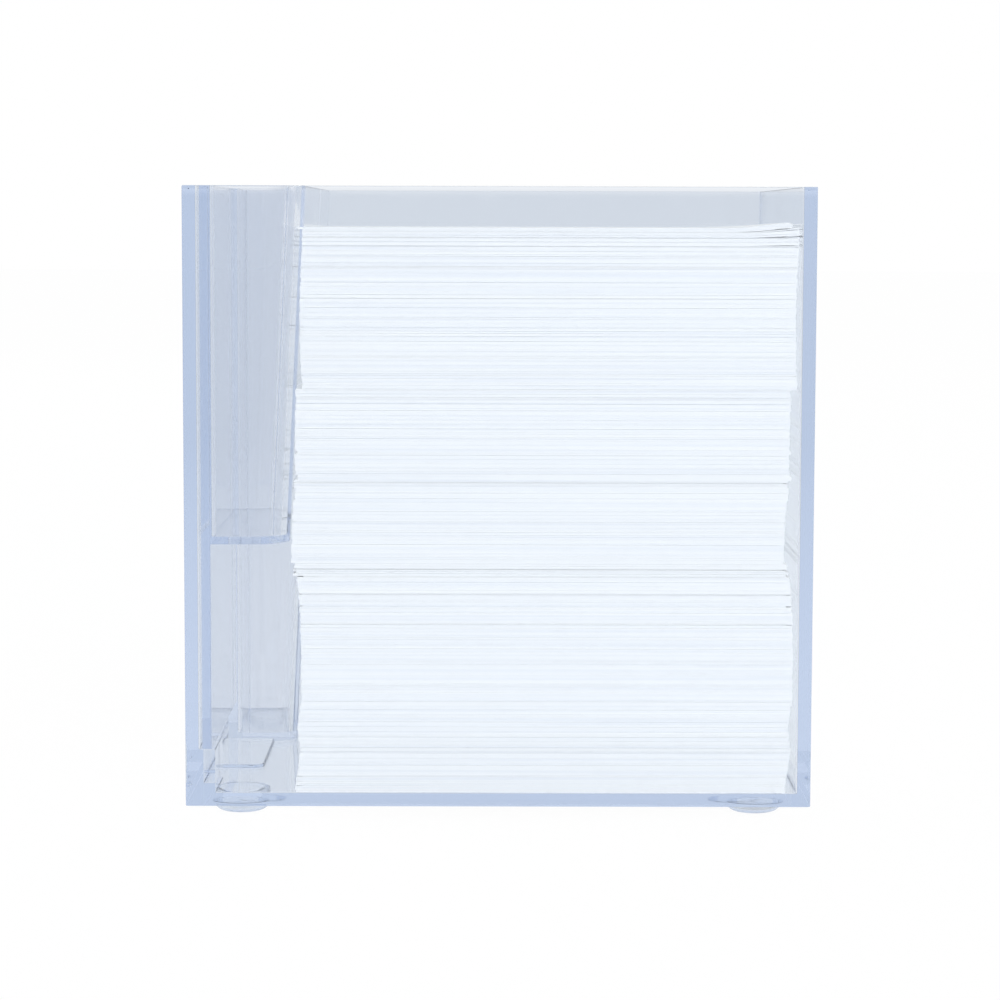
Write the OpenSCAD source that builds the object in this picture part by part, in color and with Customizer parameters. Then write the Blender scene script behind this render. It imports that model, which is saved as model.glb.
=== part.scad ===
// Memo cube: an open clear box with a stack of loose note sheets, and a clear
// holder for clips and pens that drops in along the left side of the stack.
// Millimetres, +Z up. The front faces -Y. The origin is under the middle of the
// box, on the plane that the feet stand on.
// The box is made round its contents: its width, depth and height come from the
// sheets, the holder and their clearances.

/* [Note sheets] */
// Width of a sheet, left to right
sheet_w = 91; // [70:0.5:120]
// Depth of a sheet, front to back
sheet_d = 87; // [70:0.5:120]
// Height of the bottom part of the stack
bottom_h = 40.8; // [20:0.2:60]
// Height of the part above it
lower_h = 17.2; // [6:0.2:40]
// Height of the third part
upper_h = 16.8; // [6:0.2:40]
// Height of the top part
top_h = 29.3; // [10:0.2:50]
// Thickness of the single sheet that lies on top
loose_t = 0.2; // [0.1:0.05:0.4]
// Height that the curled end of the top sheet rises
curl_h = 1.1; // [0.4:0.1:3]
// Length of the curled end
curl_len = 10; // [5:0.5:20]

/* [Box] */
// Thickness of the box's side walls
wall = 2.3; // [1.6:0.1:3.2]
// Thickness of the box's floor
floor_t = 2.2; // [1.6:0.1:3.2]
// Radius of the box's upright outside edges
outer_r = 0.5; // [0.3:0.1:1.2]
// Radius of the box's upright inside corners
inner_r = 0.4; // [0.2:0.1:0.5]
// Room over the stack, up to the rim
headroom = 7.7; // [4:0.1:20]
// Room between the front wall and the sheets
front_gap = 0.4; // [0.2:0.1:2]
// Room between the sheets and the back wall
back_gap = 2.5; // [1:0.1:6]
// Least room between the sheets and the right wall
side_gap = 0.1; // [0.1:0.1:2]

/* [Holder for clips and pens] */
// Width of the holder at its rim
holder_w = 19; // [16:0.2:30]
// Thickness of the holder's walls
holder_wall = 1.7; // [1.2:0.1:2.2]
// Lean of the holder's right wall, in degrees
holder_draft = 2.7; // [1:0.1:3]
// Radius of the holder's front right corner
holder_r = 7; // [5:0.5:9]
// Radius of the pen well's front right corner, under the tray
well_r = 4.5; // [3:0.5:6]
// Radius of the holder's other inside corners
holder_inner_r = 1.2; // [0.5:0.1:2]
// Length of the clip tray, front to back, with its front wall
tray_len = 54.9; // [30:0.1:60]
// Depth of the clip tray, from the rim to its floor
tray_depth = 64.3; // [30:0.1:80]
// Thickness of the clip tray's floor
tray_floor = 1.3; // [1:0.1:2.5]
// Thickness of the pen well's floor
well_floor = 1.5; // [1:0.1:3]
// Room between the holder's left side and the box
holder_gap = 0.7; // [0.3:0.1:1.5]
// Room between the holder's ends and the box
end_gap = 0.4; // [0.3:0.1:1]

/* [Seats in the box's floor] */
// Height of the block under the holder's front left corner
block_h = 8.1; // [4:0.1:14]
// Width of that block
block_w = 3.1; // [2.5:0.1:4]
// Length of that block, front to back
block_len = 15.2; // [8:0.1:25]
// Height of the low pad in front of the pen well
pad_h = 0.6; // [0.3:0.1:1.2]
// Width of the pad
pad_w = 10; // [6:0.1:12]
// Length of the pad, front to back
pad_len = 29.6; // [10:0.1:40]
// Radius of the pad's free corner
pad_r = 2; // [1:0.1:3]
// Room between the pad and the pen well
pad_gap = 0.3; // [0.2:0.1:1]

/* [Feet] */
// Diameter of a foot
foot_d = 10.7; // [8:0.1:14]
// Height of a foot
foot_h = 2.4; // [1.5:0.1:4]
// Diameter of the flat that a foot stands on
foot_flat_d = 6.6; // [4:0.1:7.5]
// Distance from a foot's middle to the box's nearest sides
foot_inset = 9.7; // [8:0.1:16]

/* [Hidden] */
$fn = 48;
// reach of a cutting solid past the faces that it opens
past = 1;
// reach of the leaning wall's stock to the left, past the whole holder
stock = 2 * holder_w;

CLEAR = [0.76, 0.85, 0.96, 0.35];
CLEAR_HOLDER = [0.70, 0.81, 0.95, 0.45];
PAPER = [0.97, 0.98, 1.00];
PAPER_EDGE = [0.93, 0.95, 1.00];
CLEAR_FOOT = [0.80, 0.88, 0.97, 0.60];

// How each part of the stack leans: pairs of a height in that part, from 0 at
// its bottom to 1 at its top, and a place between the holder, 0, and the right
// wall of the box, 1.
BOTTOM_LEAN = [
    [0, 0.65], [0.06, 0.68], [0.19, 0.82], [0.30, 0.69], [0.42, 0.84],
    [0.65, 0.84], [0.88, 0.72], [1, 0.54]
];
LOWER_LEAN = [[0, 0.24], [0.35, 0.20], [1, 0.21]];
UPPER_LEAN = [[0, 0.31], [0.5, 0.18], [1, 0.10]];
TOP_LEAN = [[0, 0.80], [0.22, 0.50], [0.55, 0.16], [0.85, 0.25], [1, 0.40]];
LOOSE_LEAN = 0.5;
// How far each part of the stack stands back from the foremost sheets
BOTTOM_BACK = 0;
LOWER_BACK = 0.6;
UPPER_BACK = 0.3;
TOP_BACK = 0.4;
LOOSE_BACK = 0.5;
// Where along the curled end its highest line lies, and how fast its edge drops
CURL_PEAK = 0.8;
CURL_DROP = 12;

// overall sizes
stack_h = bottom_h + lower_h + upper_h + top_h;
box_w = 2 * wall + holder_gap + holder_w + sheet_w + side_gap;
box_d = 2 * wall + front_gap + sheet_d + back_gap;
floor_z = foot_h + floor_t;
rim_z = floor_z + stack_h + headroom;

// faces of the box's inside
left_x = -box_w / 2 + wall;
right_x = box_w / 2 - wall;
front_y = -box_d / 2 + wall;
back_y = box_d / 2 - wall;

// faces of the holder
holder_x = left_x + holder_gap;
holder_y = front_y + end_gap;
holder_back_y = back_y - end_gap;
divider_y = holder_y + tray_len;
tray_z = rim_z - tray_depth;
skirt_z = floor_z + block_h;

// levels of the stack
lower_z = floor_z + bottom_h;
upper_z = lower_z + lower_h;
top_z = upper_z + upper_h;
loose_z = top_z + top_h;

// The right face of the holder at a height, and the leftmost place that a sheet
// can take beside the right wall
function holder_face(z) = holder_x + holder_w - (rim_z - z) * tan(holder_draft);
last_left = right_x - side_gap - sheet_w;

// Left edge of a sheet that lies at a height, for a place between 0 and 1
function sheet_left(z, place) =
    let (face = holder_face(z) + side_gap / 2)
    face + place * (last_left - face);

// A slab with its corner at the lower left front
module slab(x0, x1, y0, y1, z0, z1) {
    translate([x0, y0, z0]) cube([x1 - x0, y1 - y0, z1 - z0]);
}

// A rectangle with four round corners
module round_rect(x0, x1, y0, y1, r) {
    translate([x0 + r, y0]) square([x1 - x0 - 2 * r, y1 - y0]);
    translate([x0, y0 + r]) square([x1 - x0, y1 - y0 - 2 * r]);
    for (x = [x0 + r, x1 - r], y = [y0 + r, y1 - r])
        translate([x, y]) circle(r);
}

// Stock under the leaning right face of the holder, moved in by inset, with its
// front right corner round. It runs from y0 to y1 and reaches past the rim.
module leaning_stock(y0, y1, inset, r) {
    translate([holder_x + holder_w - inset / cos(holder_draft), 0, rim_z])
        rotate([0, holder_draft, 0])
            translate([0, 0, -rim_z - stock])
                linear_extrude(rim_z + 2 * stock) {
                    translate([-stock, y0 + r]) square([stock, y1 - y0 - r]);
                    translate([-stock, y0]) square([stock - r, y1 - y0]);
                    translate([-r, y0 + r]) circle(r);
                }
}

// Outside of a cell of the holder
module cell_body(y0, y1, z0, r) {
    intersection() {
        slab(holder_x, holder_x + stock, y0, y1, z0, rim_z);
        leaning_stock(y0, y1, 0, r);
    }
}

// Inside of a cell of the holder, open at the top
module cell_room(y0, y1, z0, r) {
    intersection() {
        translate([0, 0, z0])
            linear_extrude(rim_z + past - z0)
                round_rect(
                    holder_x + holder_wall, holder_x + stock, y0, y1,
                    holder_inner_r
                );
        leaning_stock(y0, y1, holder_wall, r);
    }
}

// One moulding: four walls and a floor, with the seats of the holder on it
module box() {
    color(CLEAR) {
        difference() {
            translate([0, 0, foot_h])
                linear_extrude(rim_z - foot_h)
                    round_rect(-box_w / 2, box_w / 2, -box_d / 2, box_d / 2, outer_r);
            translate([0, 0, floor_z])
                linear_extrude(rim_z + past - floor_z)
                    round_rect(left_x, right_x, front_y, back_y, inner_r);
        }
        corner_block();
        pad();
    }
}

// Block in the front left corner, under the holder's skirt
module corner_block() {
    slab(
        left_x - wall / 2, left_x + block_w,
        front_y - wall / 2, front_y + block_len,
        floor_z - floor_t / 2, skirt_z
    );
}

// Low pad against the left wall, in front of the pen well
module pad() {
    pad_back_y = divider_y - pad_gap;
    pad_front_y = pad_back_y - pad_len;
    translate([0, 0, floor_z - floor_t / 2])
        linear_extrude(floor_t / 2 + pad_h) {
            translate([left_x - wall / 2, pad_front_y])
                square([wall / 2 + pad_w - pad_r, pad_len]);
            translate([left_x, pad_front_y + pad_r])
                square([pad_w, pad_len - pad_r]);
            translate([left_x + pad_w - pad_r, pad_front_y + pad_r]) circle(pad_r);
        }
}

// One moulding: a clip tray in front, a deep pen well behind it, and a skirt
// down the left side that stands on the corner block
module pen_holder() {
    color(CLEAR_HOLDER)
        difference() {
            union() {
                cell_body(holder_y, holder_back_y, tray_z - tray_floor, holder_r);
                cell_body(divider_y, holder_back_y, floor_z, well_r);
                slab(
                    holder_x, holder_x + holder_wall,
                    holder_y, divider_y + holder_wall,
                    skirt_z, tray_z
                );
            }
            cell_room(
                holder_y + holder_wall, divider_y,
                tray_z, holder_r - holder_wall
            );
            cell_room(
                divider_y + holder_wall, holder_back_y - holder_wall,
                floor_z + well_floor, well_r - holder_wall
            );
        }
}

// Part of the stack: the sheets keep their width, and their left edges follow
// the places in lean
module paper(z, h, lean, back) {
    left = [for (p = lean) [sheet_left(z + p[0] * h, p[1]), z + p[0] * h]];
    count = len(left);
    right = [for (i = [count - 1 : -1 : 0]) [left[i][0] + sheet_w, left[i][1]]];
    translate([0, front_y + front_gap + back + sheet_d, 0])
        rotate([90, 0, 0])
            linear_extrude(sheet_d) polygon(concat(left, right));
}

module paper_bottom() {
    color(PAPER) paper(floor_z, bottom_h, BOTTOM_LEAN, BOTTOM_BACK);
}

module paper_lower() {
    color(PAPER_EDGE) paper(lower_z, lower_h, LOWER_LEAN, LOWER_BACK);
}

module paper_upper() {
    color(PAPER) paper(upper_z, upper_h, UPPER_LEAN, UPPER_BACK);
}

module paper_top() {
    color(PAPER_EDGE) paper(top_z, top_h, TOP_LEAN, TOP_BACK);
}

// Height of the curled end over the stack, from 0 where it lifts to 1 at its edge
function curl(t) =
    curl_h * (t < CURL_PEAK ? pow(sin(t / CURL_PEAK * 90), 2) : 1 - CURL_DROP * pow(t - CURL_PEAK, 2));

// The top sheet lies flat and curls up along its right edge
module curled_sheet() {
    steps = 10;
    flat_len = sheet_w - curl_len;
    under = concat(
        [[0, 0]],
        [for (i = [0 : steps]) [flat_len + curl_len * i / steps, curl(i / steps)]]
    );
    over = [for (i = [len(under) - 1 : -1 : 0]) under[i] + [0, loose_t]];
    color(PAPER)
        translate([
            sheet_left(loose_z, LOOSE_LEAN),
            front_y + front_gap + LOOSE_BACK + sheet_d,
            loose_z
        ])
            rotate([90, 0, 0])
                linear_extrude(sheet_d) polygon(concat(under, over));
}

// A clear stick-on foot: a low dome with a flat to stand on
module foot(x_side, y_side) {
    // the dome is an arc from the flat's edge to the rim under the box
    drop = (foot_d - foot_flat_d) / 2;
    dome_r = (drop * drop + foot_h * foot_h) / (2 * foot_h);
    turn = asin(drop / dome_r);
    arc_steps = 6;
    color(CLEAR_FOOT)
        translate([
            x_side * (box_w / 2 - foot_inset),
            y_side * (box_d / 2 - foot_inset),
            0
        ])
            rotate_extrude()
                polygon(concat(
                    [[0, 0]],
                    [
                        for (i = [0 : arc_steps])
                            let (a = turn * i / arc_steps)
                            [foot_flat_d / 2 + dome_r * sin(a), dome_r * (1 - cos(a))]
                    ],
                    [[foot_d / 2, foot_h], [0, foot_h]]
                ));
}

module foot_front_left() { foot(-1, -1); }
module foot_front_right() { foot(1, -1); }
module foot_back_left() { foot(-1, 1); }
module foot_back_right() { foot(1, 1); }

box();
pen_holder();
paper_bottom();
paper_lower();
paper_upper();
paper_top();
curled_sheet();
foot_front_left();
foot_front_right();
foot_back_left();
foot_back_right();
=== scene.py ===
"""Looks of a memo cube: a clear box with a stack of note sheets and a lift-out pen holder.

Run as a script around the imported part. Lengths are in metres, in the part's frame:
the origin is on the table under the middle of the box, the front faces -Y, +Z is up.
"""

import math
import random

import bmesh
import bpy
from bpy.props import FloatProperty, FloatVectorProperty, IntProperty, PointerProperty
from mathutils import Matrix, Vector


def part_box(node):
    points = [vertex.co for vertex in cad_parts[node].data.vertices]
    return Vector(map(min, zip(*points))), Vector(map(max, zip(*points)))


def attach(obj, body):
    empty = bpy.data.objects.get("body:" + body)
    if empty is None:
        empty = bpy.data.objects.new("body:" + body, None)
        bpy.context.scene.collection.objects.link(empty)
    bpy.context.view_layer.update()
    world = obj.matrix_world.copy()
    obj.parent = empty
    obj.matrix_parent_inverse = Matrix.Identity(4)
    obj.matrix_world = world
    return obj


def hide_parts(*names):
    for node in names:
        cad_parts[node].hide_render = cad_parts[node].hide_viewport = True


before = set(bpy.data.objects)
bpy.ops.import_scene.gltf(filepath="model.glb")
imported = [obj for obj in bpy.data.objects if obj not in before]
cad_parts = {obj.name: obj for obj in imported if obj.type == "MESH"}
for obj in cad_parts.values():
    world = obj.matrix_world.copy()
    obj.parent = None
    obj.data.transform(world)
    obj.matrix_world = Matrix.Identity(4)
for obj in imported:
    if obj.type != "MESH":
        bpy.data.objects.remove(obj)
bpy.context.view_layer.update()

bl_info = {
    "name": "Memo cube",
    "version": (1, 0, 0),
    "blender": (4, 5, 0),
    "location": "3D View > Sidebar > Memo cube",
    "description": "Builds the looks of a clear memo cube around its packed part",
    "category": "Object",
}

MM = 0.001
BODY = "root"

BOX_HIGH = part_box("box")[1]
HOLDER_LOW, HOLDER_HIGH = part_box("pen_holder")
BLOCK_TOP = 12.7 * MM  # the corner block that the holder's skirt sits on
SHEET_BLOCKS = ("paper_bottom", "paper_lower", "paper_upper", "paper_top")
FEET = ("foot_front_left", "foot_front_right", "foot_back_left", "foot_back_right")

# Seams between the sheets of each block: the seam's height over the part's foot plane,
# and how far it gapes at the left and at the right end, all in millimetres.
SEAMS = {
    "paper_bottom": (
        (5.9, 0.05, 0.09), (6.6, 0.04, 0.06), (7.4, 0.06, 0.05), (12.9, 0.03, 0.02),
        (36.3, 0.07, 0.06), (39.7, 0.17, 0.15), (41.8, 0.12, 0.11), (45.0, 0.20, 0.17),
    ),
    "paper_lower": (
        (46.1, 0.20, 0.16), (52.5, 0.03, 0.03), (54.9, 0.09, 0.08), (62.3, 0.20, 0.11),
    ),
    "paper_upper": (
        (65.0, 0.04, 0.03), (71.5, 0.03, 0.03), (77.9, 0.05, 0.04), (79.2, 0.05, 0.07),
    ),
    "paper_top": (
        (81.9, 0.06, 0.05), (90.1, 0.03, 0.04), (90.7, 0.06, 0.05), (96.0, 0.03, 0.02),
        (101.8, 0.05, 0.04), (105.6, 0.07, 0.06), (106.3, 0.05, 0.05), (107.1, 0.08, 0.06),
    ),
}
# Groups of sheets that stand out of a block: their heights, and how far they are
# shifted to the right, in millimetres.
STRAYS = {
    "paper_bottom": ((44.95, 45.4, -0.6),),
    "paper_lower": (
        (45.4, 45.8, 0.9), (45.8, 46.2, 0.3), (46.2, 47.3, 0.65), (58.9, 61.1, 0.3),
    ),
    "paper_upper": ((62.7, 63.6, 0.5), (67.4, 67.9, 0.3)),
    "paper_top": (),
}
# Heights in the top block at which the sheets' right ends gape, and by how much, in
# millimetres. From the last but one of them upwards, the ends also thicken, by SWELL.
FAN = ((105.6, 0.14), (107.15, 0.24), (107.9, 0.10))
SWELL = 0.34 * MM
FAN_REACH = 9.0 * MM  # length of the sheets' ends that bend up
FAN_STEPS = 12
FAN_POWER = 1.15  # shape of the bend: 1 is a straight ramp

GROUP_SIZES = (3, 9)  # fewest and most sheets of a group that strays as one
JOINT_SHARES = (0.3, 1.7)  # tightest and widest joint, as shares of the mean one
GROUP_TURN = 0.0004  # radians that a group turns by at most
SHEET_SIDE_PLAY = 0.04 * MM
SHEET_DEPTH_PLAY = 0.05 * MM
SEAM_FILL = 0.96  # share of a gaping seam's height that its set-back sheet fills

FLOOR_AIR = 0.04 * MM  # under the lowest sheet: light runs on inside the floor
HOLDER_AIR = 0.06 * MM  # between the sheets and the holder's leaning face
WALL = 2.4 * MM  # the box's right wall, with a little air before the sheets
HOLDER_LEAN = math.radians(2.7)
HOLDER_CORNER = 7.0 * MM  # radius of the holder's front right corner

# The few loose sheets on top: the plane under them, their number, how far the highest one
# lies over the underside of the CAD's sheet, how much sooner they end at the right than
# that sheet, how unevenly they do, and how much shorter still the lowest one is.
BUNDLE_LOW = 108.20 * MM
BUNDLE_SHEETS = 6
BUNDLE_RISE = 0.16 * MM
BUNDLE_AIR = 0.01 * MM
BUNDLE_SHORTER = 1.6 * MM
BUNDLE_UNEVEN = 0.25 * MM
LOWEST_SHORTER = 0.3 * MM
# The highest of them reach over the holder's corner with a tip: their number, how far the
# longest tip reaches past the CAD's sheet, how much shorter each tip under it is, and the
# least width of a tip with the air before the corner.
TIPS = 3
TIP_REACH = 1.25 * MM
TIP_SHORTER = 0.2 * MM
TIP_WIDTH = 0.3 * MM
TIP_AIR = 0.1 * MM
TIP_STEPS = 8
TIP_SOLID, CURL_SOLID = 0.96, 0.94  # shares of the pitch that are paper
CURL_START = 0.86  # share of a sheet's length that still lies flat
CURL_STEPS = 27
CURL_BACK = 0.4  # share of the front's curl that is left at the back
# How far the lowest and the highest loose sheet rise along their right ends: pairs of a
# place across the box and the rise there, in millimetres.
CURL_LOW = (
    (-60, 0), (43.0, 0), (46.1, 0.08), (47.8, 0.20), (49.6, 0.38), (50.7, 0.55),
    (53.0, 0.76), (60, 0.8),
)
CURL_HIGH = (
    (-60, 0), (43.2, 0), (46.1, 0.27), (47.8, 0.50), (49.3, 0.66), (50.7, 0.88), (51.7, 1.05),
    (52.4, 1.09), (53.1, 1.00), (53.6, 0.80), (60, 0.8),
)

WELD = 1e-6  # points of a CAD mesh nearer than this are one
AT_LEVEL = 0.01 * MM  # points nearer than this to a level lie on it
COPLANAR = math.radians(0.5)  # faces that meet at less are one
EDGE = math.radians(30)  # edges that turn by more are rounded
BOX_CORNER = 0.51 * MM  # reach of the rounding of the box's upright edges
PLASTIC_IOR = 1.59
PAPER_TONE_AND_JOINT_SHADE = (0.90, 0.92, 0.965)  # share of the paper's colour left on the cut sides: a random tone from sheet to sheet, and painted shade in the thin joints between sheets
FOOT_STEPS = 16  # from a foot's flat over its dome to its rim
FOOT_TURN = 96  # points round a foot
FOOT_RIM = (0.08 * MM, 0.12 * MM)  # width and height of the slope at a foot's upper rim

FLOOR_REACH = 6.0
FLOOR_PALE = 0.97  # share of the pale background in the floor; the rest takes the shadow
# How far that background turns white near the object, and the distances from the object
# between which this fades.
FLOOR_WHITER = 0.5
FLOOR_FADE = (0.1, 0.9)
# The white strip low on the backdrop, by the height of a ray's direction: where it
# begins, is white, is still white, and ends.
STRIP = (0.0086, 0.0100, 0.040, 0.060)
LAMPS_AIM = (0, 0, 0.06)
CAMERA_PLACE = Vector((-1.91, -589.59, 110.247)) * MM
CAMERA_TURN = (0.2216, 5.3682, 0.1641)  # yaw right, pitch down, roll left, in degrees
SENSOR, LENS = 36.0, 107.2135
LIGHT_TURNS = 64  # light leaves the edges of the clear plates after many turns in them


class PlasticSettings(bpy.types.PropertyGroup):
    """The clear box and the holder that drops into it"""

    edge_radius: FloatProperty(
        name="Edge radius",
        description="Rounding of the moulded edges",
        default=0.25 * MM, min=0.05 * MM, max=0.6 * MM, unit="LENGTH", subtype="DISTANCE",
    )
    contact_gap: FloatProperty(
        name="Contact gap",
        description="Air left where two clear parts rest on each other",
        default=0.03 * MM, min=0.01 * MM, max=0.1 * MM, unit="LENGTH", subtype="DISTANCE",
    )
    box_colour: FloatVectorProperty(
        name="Box tint",
        description="What a plate of the box lets through, seen face on",
        default=(0.90, 0.925, 0.96), size=3, min=0, max=1, subtype="COLOR",
    )
    holder_colour: FloatVectorProperty(
        name="Holder tint",
        description="What a plate of the holder lets through, seen face on",
        default=(0.962, 0.966, 0.98), size=3, min=0, max=1, subtype="COLOR",
    )
    depth_colour: FloatVectorProperty(
        name="Tint along the plates",
        description="Colour that long ways through the plastic turn to",
        default=(0.20, 0.46, 0.88), size=3, min=0, max=1, subtype="COLOR",
    )
    depth_density: FloatProperty(
        name="Tint density",
        description="How fast long ways through the plastic take that colour",
        default=5.0, min=0, max=60,
    )


class SheetSettings(bpy.types.PropertyGroup):
    """The note sheets"""

    pitch: FloatProperty(
        name="Sheet pitch",
        description="Height that one sheet takes in the stack",
        default=0.104 * MM, min=0.08 * MM, max=0.4 * MM, unit="LENGTH", subtype="DISTANCE",
    )
    loose: FloatProperty(
        name="Looseness",
        description="Share of the pitch that is air between two sheets",
        default=0.02, min=0, max=0.5, subtype="FACTOR",
    )
    joint: FloatProperty(
        name="Joint",
        description="Mean gap between two groups of sheets",
        default=0.011 * MM, min=0, max=0.05 * MM, unit="LENGTH", subtype="DISTANCE",
    )
    seam_depth: FloatProperty(
        name="Seam depth",
        description="Depth of the seams as a share of their height",
        default=1.1, min=0.2, max=3,
    )
    trim: FloatProperty(
        name="Trim",
        description="How much narrower the sheets are than their block",
        default=0.35 * MM, min=0, max=1 * MM, unit="LENGTH", subtype="DISTANCE",
    )
    side_play: FloatProperty(
        name="Side play",
        description="How far groups of sheets stray left and right",
        default=0.10 * MM, min=0, max=0.4 * MM, unit="LENGTH", subtype="DISTANCE",
    )
    depth_play: FloatProperty(
        name="Depth play",
        description="How far groups of sheets stand back from the foremost ones",
        default=0.22 * MM, min=0, max=0.6 * MM, unit="LENGTH", subtype="DISTANCE",
    )
    colour: FloatVectorProperty(
        name="Paper",
        description="Colour of the paper",
        default=(0.925, 0.935, 0.932), size=3, min=0, max=1, subtype="COLOR",
    )
    seed: IntProperty(name="Seed", description="Seed of the sheets' play", default=7, min=0)


class FootSettings(bpy.types.PropertyGroup):
    """The clear domed feet"""

    colour: FloatVectorProperty(
        name="Foot tint",
        description="What a foot lets through",
        default=(0.90, 0.93, 0.97), size=3, min=0, max=1, subtype="COLOR",
    )
    flat: FloatProperty(
        name="Flat",
        description="Radius of the flat that a foot stands on",
        default=3.3 * MM, min=2 * MM, max=3.7 * MM, unit="LENGTH", subtype="DISTANCE",
    )


class StageSettings(bpy.types.PropertyGroup):
    """Floor, backdrop and lamps"""

    room_light: FloatProperty(
        name="Room light",
        description="Strength of the light from all round",
        default=1.2, min=0,
    )
    zenith: FloatProperty(
        name="Zenith",
        description="Share of the room light that is left overhead",
        default=0.5, min=0, max=1, subtype="FACTOR",
    )
    front_lamp: FloatProperty(
        name="Front lamp",
        description="Power of the large lamp in front",
        default=10.1, min=0,
    )
    top_lamp: FloatProperty(
        name="Top lamp",
        description="Power of the large lamp overhead",
        default=0.8, min=0,
    )
    back_lamp: FloatProperty(
        name="Back lamp",
        description="Power of the large lamp behind",
        default=4.0, min=0,
    )
    floor_colour: FloatVectorProperty(
        name="Floor",
        description="Colour of the floor",
        default=(0.96, 0.965, 0.97), size=3, min=0, max=1, subtype="COLOR",
    )
    seen_through: FloatVectorProperty(
        name="Seen through",
        description="Pale backdrop as the clear plastic lets it through",
        default=(0.81, 0.832, 0.858), size=3, min=0, max=1, subtype="COLOR",
    )
    mirrored: FloatVectorProperty(
        name="Mirrored",
        description="Pale room as the clear plastic mirrors it",
        default=(0.55, 0.57, 0.60), size=3, min=0, max=1, subtype="COLOR",
    )


# --- materials -------------------------------------------------------------------------


def node_group(name, inputs, outputs):
    """A shader node group with named sockets, and its input and output nodes"""
    group = bpy.data.node_groups.new(name, "ShaderNodeTree")
    for socket, kind, value in inputs:
        made = group.interface.new_socket(socket, in_out="INPUT", socket_type=kind)
        made.default_value = value
    for socket, kind in outputs:
        group.interface.new_socket(socket, in_out="OUTPUT", socket_type=kind)
    return group, group.nodes.new("NodeGroupInput"), group.nodes.new("NodeGroupOutput")


def noise(tree, vector, scale, detail):
    """The value of a noise texture along a vector"""
    node = tree.nodes.new("ShaderNodeTexNoise")
    node.inputs["Scale"].default_value = scale
    node.inputs["Detail"].default_value = detail
    tree.links.new(vector, node.inputs["Vector"])
    return node.outputs["Fac"]


def feed(tree, socket, value):
    """Gives a socket a number, or links a value to it"""
    if isinstance(value, (int, float)):
        socket.default_value = value
    else:
        tree.links.new(value, socket)


def math_node(tree, operation, *values):
    """A math node that works on values and numbers"""
    node = tree.nodes.new("ShaderNodeMath")
    node.operation = operation
    for socket, value in zip(node.inputs, values):
        feed(tree, socket, value)
    return node.outputs["Value"]


def stretched(tree, stretch):
    """Object coordinates stretched along an axis"""
    place = tree.nodes.new("ShaderNodeTexCoord")
    scale = tree.nodes.new("ShaderNodeMapping")
    scale.inputs["Scale"].default_value = stretch
    tree.links.new(place.outputs["Object"], scale.inputs["Vector"])
    return scale.outputs["Vector"]


def spread(tree, value, low, high, start=0.3, end=0.7):
    """A value mapped from start and end, the range that noise has, to low and high"""
    node = tree.nodes.new("ShaderNodeMapRange")
    feed(tree, node.inputs["Value"], value)
    feed(tree, node.inputs["From Min"], start)
    feed(tree, node.inputs["From Max"], end)
    feed(tree, node.inputs["To Min"], low)
    feed(tree, node.inputs["To Max"], high)
    return node.outputs["Result"]


def shared_group(name, build):
    """The node group of a name, built when it is first needed"""
    return bpy.data.node_groups.get(name) or build(name)


def moulded_surface(name):
    """Flow waves and patches of faint handling haze on a polished clear moulding"""
    group, into, out = node_group(
        name,
        (("Hazy", "NodeSocketFloat", 0.06),),
        (("Roughness", "NodeSocketFloat"), ("Height", "NodeSocketFloat")),
    )
    haze = noise(group, stretched(group, (1, 1, 0.6)), scale=70.0, detail=3.0)
    waves = noise(group, stretched(group, (1, 1, 0.08)), scale=120.0, detail=1.0)
    # Only the upper part of the noise is hazy: all else is polished, with no roughness
    patches = spread(group, haze, 0.0, into.outputs["Hazy"], start=0.52)
    group.links.new(patches, out.inputs["Roughness"])
    group.links.new(waves, out.inputs["Height"])
    return group


def cut_paper(name):
    """Cut paper: fibres on the faces, and on the cut sides a slight change of tone from sheet
    to sheet and thin darker joints, which are painted shade between sheets"""
    group, into, out = node_group(
        name,
        (
            ("Paper", "NodeSocketColor", (1, 1, 1, 1)),
            ("Shade", "NodeSocketColor", (0.9, 0.9, 0.95, 1)),
        ),
        (("Colour", "NodeSocketColor"), ("Height", "NodeSocketFloat")),
    )
    along = stretched(group, (0.003, 0.003, 1.0))
    layers = spread(group, noise(group, along, scale=2200.0, detail=2.0), 0.0, 0.45)
    # The joints are thin lines of painted shade between sheets, where a noise comes near its
    # middle
    lines = noise(group, along, scale=1250.0, detail=1.0)
    joints = math_node(group, "COMPARE", lines, 0.5, 0.04)
    tone_and_joint_shade = math_node(group, "MULTIPLY_ADD", joints, 0.4, layers)

    facing = group.nodes.new("ShaderNodeNewGeometry")
    split = group.nodes.new("ShaderNodeSeparateXYZ")
    group.links.new(facing.outputs["True Normal"], split.inputs["Vector"])
    level = math_node(group, "ABSOLUTE", split.outputs["Z"])
    sides = spread(group, level, tone_and_joint_shade, 0.0, start=0.0, end=1.0)

    tone = group.nodes.new("ShaderNodeMix")
    tone.data_type = "RGBA"
    group.links.new(sides, tone.inputs["Factor"])
    group.links.new(into.outputs["Paper"], tone.inputs["A"])
    group.links.new(into.outputs["Shade"], tone.inputs["B"])
    group.links.new(tone.outputs["Result"], out.inputs["Colour"])
    fibres = noise(group, stretched(group, (1, 1, 1)), scale=2600.0, detail=3.0)
    group.links.new(fibres, out.inputs["Height"])
    return group


def principled(name):
    """A material and its own Principled shader"""
    material = bpy.data.materials.new(name)
    material.use_nodes = True
    return material, material.node_tree.nodes["Principled BSDF"]


def placed_group(tree, group, **values):
    """A node group in a material, with its own values"""
    node = tree.nodes.new("ShaderNodeGroup")
    node.node_tree = group
    for socket, value in values.items():
        node.inputs[socket].default_value = value
    return node


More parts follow.
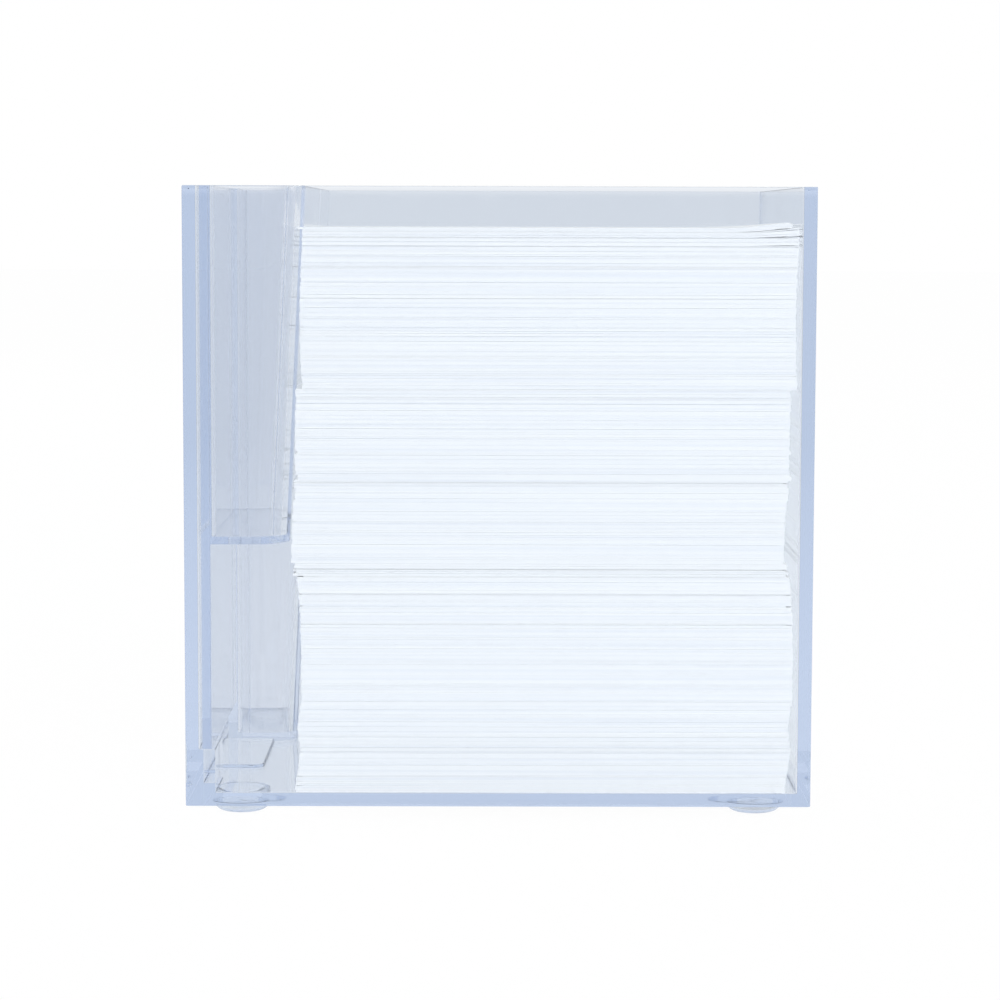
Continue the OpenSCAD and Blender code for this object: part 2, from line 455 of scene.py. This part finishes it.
def bumped(tree, height, shader, distance, strength):
    """Puts a height on a shader as bump"""
    bump = tree.nodes.new("ShaderNodeBump")
    bump.inputs["Distance"].default_value = distance
    bump.inputs["Strength"].default_value = strength
    tree.links.new(height, bump.inputs["Height"])
    tree.links.new(bump.outputs["Normal"], shader.inputs["Normal"])


def lets_lamps_through(material, shader):
    """Lamps reach what is behind the clear plastic: their rays, and those that paper
    sends back, pass it unbent"""
    tree = material.node_tree
    path = tree.nodes.new("ShaderNodeLightPath")
    clear = tree.nodes.new("ShaderNodeBsdfTransparent")
    clear.inputs["Color"].default_value = (1, 1, 1, 1)
    seen = shader.outputs["BSDF"]
    for ray in ("Is Shadow Ray", "Is Diffuse Ray"):
        mix = tree.nodes.new("ShaderNodeMixShader")
        tree.links.new(path.outputs[ray], mix.inputs["Fac"])
        tree.links.new(seen, mix.inputs[1])
        tree.links.new(clear.outputs["BSDF"], mix.inputs[2])
        seen = mix.outputs["Shader"]
    tree.links.new(seen, tree.nodes["Material Output"].inputs["Surface"])


def clear_plastic(name, colour, plastic, hazy, wave):
    """A clear moulding: tinted by each plate, and more so along them. Hazy is the
    roughness of its handled patches, wave the height of its flow waves"""
    material, shader = principled(name)
    tree = material.node_tree
    shader.inputs["Base Color"].default_value = (*colour, 1)
    shader.inputs["Transmission Weight"].default_value = 1.0
    shader.inputs["IOR"].default_value = PLASTIC_IOR
    group = shared_group("Moulded surface", moulded_surface)
    surface = placed_group(tree, group, Hazy=hazy)
    tree.links.new(surface.outputs["Roughness"], shader.inputs["Roughness"])
    bumped(tree, surface.outputs["Height"], shader, distance=wave, strength=0.2)
    depth = tree.nodes.new("ShaderNodeVolumeAbsorption")
    depth.inputs["Color"].default_value = (*plastic.depth_colour, 1)
    depth.inputs["Density"].default_value = plastic.depth_density
    tree.links.new(depth.outputs["Volume"], tree.nodes["Material Output"].inputs["Volume"])
    lets_lamps_through(material, shader)
    return material


def paper_material(colour):
    """The note sheets' paper, made when it is first needed. On its cut sides it turns to a
    slightly bluer shade: a random tone from sheet to sheet, and painted shade in the thin
    joints between sheets"""
    made = bpy.data.materials.get("Note paper")
    if made:
        return made
    material, shader = principled("Note paper")
    tree = material.node_tree
    shader.inputs["Roughness"].default_value = 0.85
    shader.inputs["Specular IOR Level"].default_value = 0.3
    # colour of the cut sides: a random tone from sheet to sheet, and painted shade in the thin
    # joints between sheets
    shade = [channel * share for channel, share in zip(colour, PAPER_TONE_AND_JOINT_SHADE)]
    group = shared_group("Cut paper", cut_paper)
    surface = placed_group(tree, group, Paper=(*colour, 1), Shade=(*shade, 1))
    tree.links.new(surface.outputs["Colour"], shader.inputs["Base Color"])
    bumped(tree, surface.outputs["Height"], shader, distance=0.01 * MM, strength=0.3)
    return material


# --- meshes ----------------------------------------------------------------------------


def new_piece(name, mesh, material, nodes):
    """Links a mesh as a piece that rides on the part and stands for CAD nodes"""
    piece = bpy.data.objects.new(name, mesh)
    bpy.context.scene.collection.objects.link(piece)
    mesh.materials.append(material)
    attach(piece, BODY)
    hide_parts(*nodes)
    return piece


def at_back_edge(vert):
    """Whether a point lies at one of the two upright outer edges at the box's back"""
    side, back = BOX_HIGH.x - abs(vert.co.x), BOX_HIGH.y - vert.co.y
    return side < BOX_CORNER and back < BOX_CORNER


def moulding(node, edge_radius, lift, levels):
    """The moulding of a CAD node with its faces made whole and its edges rounded, the
    convex and the concave ones alike. Faces at the given levels stand clear by lift"""
    shape = bmesh.new()
    shape.from_mesh(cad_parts[node].data)
    # The two upright edges at the back stay crisp: rounded ones would turn the light that
    # runs along the side walls into the back wall
    for vert in filter(at_back_edge, shape.verts):
        vert.co.x, vert.co.y = math.copysign(BOX_HIGH.x, vert.co.x), BOX_HIGH.y
    bmesh.ops.remove_doubles(shape, verts=shape.verts, dist=WELD)
    bmesh.ops.dissolve_limit(
        shape, angle_limit=COPLANAR, verts=shape.verts, edges=shape.edges
    )
    for vert in shape.verts:
        if any(abs(vert.co.z - level) < AT_LEVEL for level in levels):
            vert.co.z += lift
    sharp = [
        edge for edge in shape.edges
        if len(edge.link_faces) == 2 and edge.calc_face_angle() > EDGE
        and not all(at_back_edge(vert) for vert in edge.verts)
    ]
    bmesh.ops.bevel(
        shape, geom=sharp, offset=edge_radius, offset_type="OFFSET", segments=3,
        profile=0.5, affect="EDGES", clamp_overlap=True,
    )
    mesh = bpy.data.meshes.new(node)
    shape.to_mesh(mesh)
    shape.free()
    mesh.shade_smooth()
    mesh.set_sharp_from_angle(angle=math.radians(40))
    return mesh


def true_faces(piece):
    """Flat faces keep their own normals up to the rounded edges beside them, so that they
    don't bend what shows through them"""
    weighted = piece.modifiers.new("True faces", "WEIGHTED_NORMAL")
    weighted.weight = 100
    weighted.keep_sharp = True


def left_edge(node, middle):
    """Left edge of a block of sheets by height, as (z, x) from the bottom up"""
    points = (vert.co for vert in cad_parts[node].data.vertices)
    return sorted({(round(p.z, 6), round(p.x, 6)) for p in points if p.x < middle})


def between(line, place):
    """The value at a place on a line of (place, value) points"""
    for (start, a), (end, b) in zip(line, line[1:]):
        if place <= end:
            return a + (b - a) * (place - start) / (end - start)
    return line[-1][1]


def holder_face(z):
    """Right face of the holder at a height"""
    return HOLDER_HIGH.x - (HOLDER_HIGH.z - z) * math.tan(HOLDER_LEAN)


def bend(share):
    """How a sheet's end bends up over its reach, from 1 at the end to 0"""
    return max(0.0, 1 - share) ** FAN_POWER


def sheet_rows(x, y, z, turn, lift=0.0):
    """A sheet's rows from left to right, each with a front and a back point. It goes from
    and to the given x, y and height, is turned a little, and its right end bends up by
    lift"""
    (x0, x1), (y0, y1), (z0, z1) = x, y, z
    shares = [0.0, 1.0]
    if lift:
        end = FAN_REACH / (x1 - x0)
        shares[1:] = [1 - end * (1 - i / FAN_STEPS) for i in range(FAN_STEPS + 1)]
    rows = []
    for share in shares:
        across = x0 + (x1 - x0) * share
        height = z0 + (z1 - z0) * share + lift * bend((x1 - across) / FAN_REACH)
        rows.append([
            (across + turn * (p - (y0 + y1) / 2), p - turn * (across - (x0 + x1) / 2), height)
            for p in (y0, y1)
        ])
    return rows


class SheetMesh:
    """Gathers many thin sheets in one mesh"""

    def __init__(self):
        self.verts, self.faces = [], []

    def add(self, rows, thickness):
        """A sheet over rows of a front and a back point, with a pair of thicknesses for
        every row"""
        first = len(self.verts)
        for row, pair in zip(rows, thickness):
            for (x, y, z), thick in zip(row, pair):
                self.verts += [(x, y, z), (x, y, z + thick)]
        last = first + 4 * (len(rows) - 1)
        for a in range(first, last, 4):
            b = a + 4
            self.faces += [
                (a + 0, b + 0, b + 1, a + 1),
                (a + 1, b + 1, b + 3, a + 3),
                (a + 3, b + 3, b + 2, a + 2),
                (a + 2, b + 2, b + 0, a + 0),
            ]
        self.faces += [
            (first, first + 1, first + 3, first + 2),
            (last, last + 2, last + 3, last + 1),
        ]

    def mesh(self, name):
        """The mesh of all sheets so far"""
        mesh = bpy.data.meshes.new(name)
        mesh.from_pydata(self.verts, [], self.faces)
        mesh.validate()
        return mesh


def fan(node, z):
    """How far the right end of a sheet at height z bends up: by the gapes under it, and
    by the thicker ends of the sheets under it"""
    if node != "paper_top":
        return 0.0, 0.0
    low, high = FAN[-2][0] * MM, BUNDLE_LOW
    gapes = sum(rise * MM for level, rise in FAN if z >= level * MM)
    return gapes, SWELL * min(max((z - low) / (high - low), 0.0), 1.0)


def group_starts(count, seams, joint, rng):
    """The sheets that start a group, each with the joint under it. Every seam starts one"""
    starts = set(seams)
    start = 0
    while start < count:
        starts.add(start)
        start += rng.randint(*GROUP_SIZES)
    return {start: rng.uniform(*JOINT_SHARES) * joint for start in sorted(starts)}


def block_of_sheets(node, settings, rng):
    """Sheets that fill a CAD block: groups of them stray a little, and seams gape"""
    low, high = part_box(node)
    outline = left_edge(node, (low.x + high.x) / 2)
    lean = max(x for _, x in outline) - min(x for _, x in outline)
    width = high.x - low.x - lean - settings.trim
    bottom = low.z + (FLOOR_AIR if node == SHEET_BLOCKS[0] else 0.0)
    top = BUNDLE_LOW if node == SHEET_BLOCKS[-1] else high.z
    count = round((top - bottom) / settings.pitch)
    seams = {
        round((level * MM - bottom) / (top - bottom) * count): (left * MM, right * MM)
        for level, left, right in SEAMS[node]
    }
    joints = group_starts(count, seams, settings.joint, rng)
    used = [sum(joints.values()) + sum(seam[end] for seam in seams.values()) for end in (0, 1)]
    pitch = [(top - bottom - taken) / count for taken in used]
    solid = 1 - settings.loose
    z = [bottom, bottom]  # at the left and at the right end
    sheets = SheetMesh()
    side = back = turn = 0.0
    for i in range(count):
        if i in seams:  # a sheet that is set back all round fills the gape
            gape = seams[i]
            deep = settings.seam_depth * max(gape)
            rows = sheet_rows(
                (low.x + lean + side + deep, low.x + side + width - deep),
                (low.y + back + deep, high.y - deep), z, turn, sum(fan(node, z[0])),
            )
            left, right = ([height * SEAM_FILL] * 2 for height in gape)
            sheets.add(rows, [left] + [right] * (len(rows) - 1))
        if i in joints:  # a group starts
            z = [h + joints[i] + seams.get(i, (0, 0))[end] for end, h in enumerate(z)]
            side = rng.uniform(-1, 1) * settings.side_play
            back = rng.random() ** 2 * settings.depth_play
            turn = rng.uniform(-1, 1) * GROUP_TURN
        stray = sum(shift * MM for a, b, shift in STRAYS[node] if a * MM <= z[0] < b * MM)
        x = between(outline, z[0]) + side + stray + rng.uniform(-1, 1) * SHEET_SIDE_PLAY
        x = min(max(x, holder_face(z[0]) + HOLDER_AIR), BOX_HIGH.x - WALL - width)
        y = low.y + back + rng.random() * SHEET_DEPTH_PLAY
        gapes, swell = fan(node, z[0])
        thicker = fan(node, z[0] + pitch[0])[1] - swell
        rows = sheet_rows((x, x + width), (y, y + high.y - low.y), z, turn, gapes + swell)
        ends = (bend((x + width - row[0][0]) / FAN_REACH) for row in rows)
        sheets.add(rows, [[(min(pitch) + thicker * end) * solid] * 2 for end in ends])
        z = [h + p for h, p in zip(z, pitch)]
    return sheets.mesh(node)


def tip_rows(left, face, front, z):
    """The rows of a top sheet's left tip, which fills the space at the holder's rounded
    corner: from the tip to the holder's face"""
    rows = []
    for k in range(TIP_STEPS + 1):
        x = left + (face - left) * k / TIP_STEPS
        inside = x - face + HOLDER_CORNER
        corner = HOLDER_CORNER - math.sqrt(max(0.0, HOLDER_CORNER**2 - inside**2))
        width = max(corner, TIP_WIDTH) - TIP_AIR
        rows.append([(x, front, z), (x, front + width, z)])
    return rows


def loose_bundle():
    """The few sheets on top: they lie a little to the left, where their front corner
    reaches into the free space at the holder's rounded corner, and curl up at the right"""
    low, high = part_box("curled_sheet")
    top = BUNDLE_SHEETS - 1
    pitch = (low.z + BUNDLE_RISE - BUNDLE_LOW) / BUNDLE_SHEETS
    face = holder_face(low.z) + 2 * HOLDER_AIR
    start = face + BUNDLE_AIR
    bent = (CURL_START + (1 - CURL_START) * k / CURL_STEPS for k in range(CURL_STEPS + 1))
    shares = [0.0, *bent]
    ends = ((low.y, 1.0), (high.y, CURL_BACK))
    sheets = SheetMesh()
    for i in range(BUNDLE_SHEETS):
        z = BUNDLE_LOW + BUNDLE_AIR + i * pitch
        right = high.x - BUNDLE_SHORTER - BUNDLE_UNEVEN * math.sin(1.3 * i) ** 2
        if i == 0:
            right -= LOWEST_SHORTER
        rows, thickness = [], []
        if i > top - TIPS:
            left = low.x - TIP_REACH + TIP_SHORTER * (top - i)
            rows = tip_rows(left, face, low.y, z)
            thickness = [[pitch * TIP_SOLID] * 2] * len(rows)
        for share in shares:
            x = start + (right - start) * share
            rise = between(CURL_LOW, x / MM) * MM
            opened = (between(CURL_HIGH, x / MM) * MM - rise) / top
            rows.append([(x, y, z + (rise + i * opened) * curl) for y, curl in ends])
            thickness.append([
                (pitch + opened * curl) * CURL_SOLID if i < top else pitch for _, curl in ends
            ])
        sheets.add(rows, thickness)
    return sheets.mesh("top_sheets")


def foot_profile(radius, height, flat):
    """A foot's outline from its axis at the table, over its dome and rim, to its axis at
    the top, as (radius, height)"""
    drop = radius - flat
    dome = (drop * drop + height * height) / (2 * height)
    turn = math.asin(drop / dome)
    profile = [(0, 0), (flat * 0.7, 0)]  # a ring on the flat keeps its shading flat
    for i in range(FOOT_STEPS + 1):
        a = turn * i / FOOT_STEPS
        profile.append((flat + dome * math.sin(a), dome * (1 - math.cos(a))))
    in_by, down_by = FOOT_RIM
    return profile + [(radius, height - down_by), (radius - in_by, height), (0, height)]


def domed_foot(node, flat, sunk):
    """A clear foot: a dome turned round its own axis, rounded into its flat and rim. Its
    top is sunk a hair into the box, as a glued foot lets the light through"""
    low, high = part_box(node)
    centre = (low + high) / 2
    shape = bmesh.new()
    rings = []
    for r, z in foot_profile((high.x - low.x) / 2, high.z - low.z + sunk, flat):
        turns = [math.tau * k / FOOT_TURN for k in range(FOOT_TURN)] if r else [0.0]
        rings.append([
            shape.verts.new((
                centre.x + r * math.cos(a), centre.y + r * math.sin(a), low.z + z
            ))
            for a in turns
        ])
    for lower, upper in zip(rings, rings[1:]):
        for k in range(FOOT_TURN):
            j = (k + 1) % FOOT_TURN
            corners = (
                lower[k % len(lower)], lower[j % len(lower)],
                upper[j % len(upper)], upper[k % len(upper)],
            )
            shape.faces.new(list(dict.fromkeys(corners)))
    bmesh.ops.recalc_face_normals(shape, faces=shape.faces)
    mesh = bpy.data.meshes.new(node)
    shape.to_mesh(mesh)
    shape.free()
    mesh.shade_smooth()
    mesh.set_sharp_from_angle(angle=math.radians(30))
    return mesh


# --- operators -------------------------------------------------------------------------


class MEMO_OT_box(bpy.types.Operator):
    """Build the clear box"""

    bl_idname = "memo.box"
    bl_label = "Box"

    def execute(self, context):
        plastic = context.scene.memo_plastic
        mesh = moulding("box", plastic.edge_radius, 0, ())
        material = clear_plastic(
            "Clear box", plastic.box_colour, plastic, hazy=0.05, wave=0.03 * MM
        )
        true_faces(new_piece("clear_box", mesh, material, ["box"]))
        return {"FINISHED"}


class MEMO_OT_holder(bpy.types.Operator):
    """Build the clear holder for clips and pens"""

    bl_idname = "memo.holder"
    bl_label = "Holder"

    def execute(self, context):
        plastic = context.scene.memo_plastic
        seats = (HOLDER_LOW.z, BLOCK_TOP)
        mesh = moulding("pen_holder", plastic.edge_radius, plastic.contact_gap, seats)
        material = clear_plastic(
            "Clear holder", plastic.holder_colour, plastic, hazy=0.06, wave=0.04 * MM
        )
        true_faces(new_piece("clear_holder", mesh, material, ["pen_holder"]))
        return {"FINISHED"}


class MEMO_OT_sheets(bpy.types.Operator):
    """Build the blocks of note sheets"""

    bl_idname = "memo.sheets"
    bl_label = "Note sheets"

    def execute(self, context):
        settings = context.scene.memo_sheets
        rng = random.Random(settings.seed)
        material = paper_material(settings.colour)
        for node in SHEET_BLOCKS:
            mesh = block_of_sheets(node, settings, rng)
            new_piece(node.replace("paper", "sheets"), mesh, material, [node])
        return {"FINISHED"}


class MEMO_OT_top_sheets(bpy.types.Operator):
    """Build the few sheets on top, whose right ends curl up"""

    bl_idname = "memo.top_sheets"
    bl_label = "Top sheets"

    def execute(self, context):
        material = paper_material(context.scene.memo_sheets.colour)
        new_piece("top_sheets", loose_bundle(), material, ["curled_sheet"])
        return {"FINISHED"}


class MEMO_OT_feet(bpy.types.Operator):
    """Build the four clear feet"""

    bl_idname = "memo.feet"
    bl_label = "Feet"

    def execute(self, context):
        feet, plastic = context.scene.memo_feet, context.scene.memo_plastic
        material = clear_plastic(
            "Clear foot", feet.colour, plastic, hazy=0.09, wave=0.05 * MM
        )
        for node in FEET:
            mesh = domed_foot(node, feet.flat, plastic.contact_gap)
            new_piece("clear_" + node, mesh, material, [node])
        return {"FINISHED"}


def lamp(name, power, size, place):
    """A square lamp that lights the object but isn't seen through the clear plastic, whose
    plates would drag broken images of it along"""
    data = bpy.data.lights.new(name, "AREA")
    data.shape, data.size, data.energy = "SQUARE", size, power
    light = bpy.data.objects.new(name, data)
    light.location = place
    ahead = Vector(LAMPS_AIM) - Vector(place)
    light.rotation_euler = ahead.to_track_quat("-Z", "Y").to_euler()
    light.visible_transmission = False
    bpy.context.scene.collection.objects.link(light)


def seen_background(tree, shader, kind, stage, share, whiter):
    """Mixes the pale background into a shader for the rays that see it: the camera's,
    and those that the clear plastic mirrors and lets through. Its colours for them turn
    white by the value of whiter"""
    path = tree.nodes.new("ShaderNodeLightPath")
    for ray, colour in (
        ("Is Glossy Ray", stage.mirrored),
        ("Is Transmission Ray", stage.seen_through),
        ("Is Camera Ray", (1, 1, 1)),
    ):
        pale = tree.nodes.new(kind)
        tint = tree.nodes.new("ShaderNodeMix")
        tint.data_type = "RGBA"
        tint.inputs["A"].default_value = (*colour, 1)
        tint.inputs["B"].default_value = (1, 1, 1, 1)
        tree.links.new(whiter, tint.inputs["Factor"])
        tree.links.new(tint.outputs["Result"], pale.inputs["Color"])
        mix = tree.nodes.new("ShaderNodeMixShader")
        part = math_node(tree, "MULTIPLY", path.outputs[ray], share)
        tree.links.new(part, mix.inputs["Fac"])
        tree.links.new(shader, mix.inputs[1])
        tree.links.new(pale.outputs[0], mix.inputs[2])
        shader = mix.outputs["Shader"]
    return shader


def room(stage):
    """The world: soft light that falls off overhead, and the pale backdrop"""
    world = bpy.data.worlds.new("Room")
    world.use_nodes = True
    tree = world.node_tree
    light = tree.nodes["Background"]
    light.inputs["Color"].default_value = (0.97, 0.985, 1.0, 1)
    place = tree.nodes.new("ShaderNodeTexCoord")
    split = tree.nodes.new("ShaderNodeSeparateXYZ")
    tree.links.new(place.outputs["Generated"], split.inputs["Vector"])
    zenith = stage.room_light * stage.zenith
    fall = spread(tree, split.outputs["Z"], stage.room_light, zenith, start=0.0, end=1.0)
    tree.links.new(fall, light.inputs["Strength"])

    strip = tree.nodes.new("ShaderNodeValToRGB")
    begins, white, still_white, ends = STRIP
    first, last = strip.color_ramp.elements
    first.color = last.color = (0, 0, 0, 1)
    first.position, last.position = begins, ends
    for position in (white, still_white):
        strip.color_ramp.elements.new(position).color = (1, 1, 1, 1)
    tree.links.new(split.outputs["Z"], strip.inputs["Fac"])
    surface = seen_background(
        tree, light.outputs["Background"], "ShaderNodeBackground", stage, 1.0,
        strip.outputs["Color"],
    )
    tree.links.new(surface, tree.nodes["World Output"].inputs["Surface"])
    return world


def floor_material(stage):
    """A matt pale floor that keeps the object's shadow"""
    material, shader = principled("Floor")
    shader.inputs["Base Color"].default_value = (*stage.floor_colour, 1)
    shader.inputs["Roughness"].default_value = 0.9
    shader.inputs["Specular IOR Level"].default_value = 0.0
    tree = material.node_tree
    place = tree.nodes.new("ShaderNodeTexCoord")
    away = tree.nodes.new("ShaderNodeVectorMath")
    away.operation = "LENGTH"
    tree.links.new(place.outputs["Object"], away.inputs[0])
    near, far = FLOOR_FADE
    whiter = spread(tree, away.outputs["Value"], FLOOR_WHITER, 0.0, start=near, end=far)
    surface = seen_background(
        tree, shader.outputs["BSDF"], "ShaderNodeEmission", stage, FLOOR_PALE, whiter
    )
    tree.links.new(surface, tree.nodes["Material Output"].inputs["Surface"])
    return material


def floor_piece(stage):
    """A wide floor, behind which the world's backdrop carries on"""
    mesh = bpy.data.meshes.new("Floor")
    corners = ((-1, -1), (1, -1), (1, 1), (-1, 1))
    mesh.from_pydata(
        [(x * FLOOR_REACH, y * FLOOR_REACH, 0) for x, y in corners], [], [(0, 1, 2, 3)]
    )
    mesh.materials.append(floor_material(stage))
    piece = bpy.data.objects.new("Floor", mesh)
    bpy.context.scene.collection.objects.link(piece)
    return piece


def camera_in_front():
    """The camera, a little over the box's rim and turned slightly down"""
    data = bpy.data.cameras.new("Camera")
    data.sensor_width, data.lens = SENSOR, LENS
    camera = bpy.data.objects.new("Camera", data)
    yaw, pitch, roll = (math.radians(angle) for angle in CAMERA_TURN)
    ahead = Vector((
        math.sin(yaw) * math.cos(pitch), math.cos(yaw) * math.cos(pitch), -math.sin(pitch)
    ))
    right = Vector((math.cos(yaw), -math.sin(yaw), 0))
    up = right.cross(ahead)
    right, up = (
        right * math.cos(roll) + up * math.sin(roll),
        up * math.cos(roll) - right * math.sin(roll),
    )
    turned = Matrix((right, up, -ahead)).transposed().to_4x4()
    camera.matrix_world = Matrix.Translation(CAMERA_PLACE) @ turned
    bpy.context.scene.collection.objects.link(camera)
    return camera


class MEMO_OT_stage(bpy.types.Operator):
    """Build the floor, the backdrop, the lamps and the camera"""

    bl_idname = "memo.stage"
    bl_label = "Stage"

    def execute(self, context):
        scene, stage = context.scene, context.scene.memo_stage
        scene.world = room(stage)
        floor_piece(stage)
        lamp("Front lamp", stage.front_lamp, size=1.2, place=(0.85, -1.25, 0.78))
        lamp("Top lamp", stage.top_lamp, size=1.0, place=(0.2, 0.1, 1.4))
        lamp("Back lamp", stage.back_lamp, size=1.2, place=(-0.95, 1.2, 0.8))
        scene.camera = camera_in_front()
        scene.view_settings.view_transform = "Standard"
        scene.cycles.max_bounces = LIGHT_TURNS
        scene.cycles.glossy_bounces = LIGHT_TURNS
        scene.cycles.transmission_bounces = LIGHT_TURNS
        scene.cycles.transparent_max_bounces = LIGHT_TURNS // 2
        scene.cycles.diffuse_bounces = 3
        scene.cycles.use_light_tree = False
        return {"FINISHED"}


class MEMO_PT_panel(bpy.types.Panel):
    """Settings and builders of the memo cube"""

    bl_label = "Memo cube"
    bl_idname = "MEMO_PT_panel"
    bl_space_type = "VIEW_3D"
    bl_region_type = "UI"
    bl_category = "Memo cube"

    def draw(self, context):
        for settings, _, operators in STEPS:
            column = self.layout.column()
            group = getattr(context.scene, settings)
            for name in group.__annotations__:
                column.prop(group, name)
            for operator in operators:
                column.operator(operator.bl_idname)


STEPS = (
    ("memo_plastic", PlasticSettings, (MEMO_OT_box, MEMO_OT_holder)),
    ("memo_sheets", SheetSettings, (MEMO_OT_sheets, MEMO_OT_top_sheets)),
    ("memo_feet", FootSettings, (MEMO_OT_feet,)),
    ("memo_stage", StageSettings, (MEMO_OT_stage,)),
)


def register():
    for name, settings, operators in STEPS:
        bpy.utils.register_class(settings)
        setattr(bpy.types.Scene, name, PointerProperty(type=settings))
        for operator in operators:
            bpy.utils.register_class(operator)
    bpy.utils.register_class(MEMO_PT_panel)


def unregister():
    bpy.utils.unregister_class(MEMO_PT_panel)
    for name, settings, operators in reversed(STEPS):
        for operator in reversed(operators):
            bpy.utils.unregister_class(operator)
        delattr(bpy.types.Scene, name)
        bpy.utils.unregister_class(settings)


def main():
    """Builds everything in order"""
    register()
    for _, _, operators in STEPS:
        for operator in operators:
            group, name = operator.bl_idname.split(".")
            getattr(getattr(bpy.ops, group), name)()


if __name__ == "__main__":
    main()
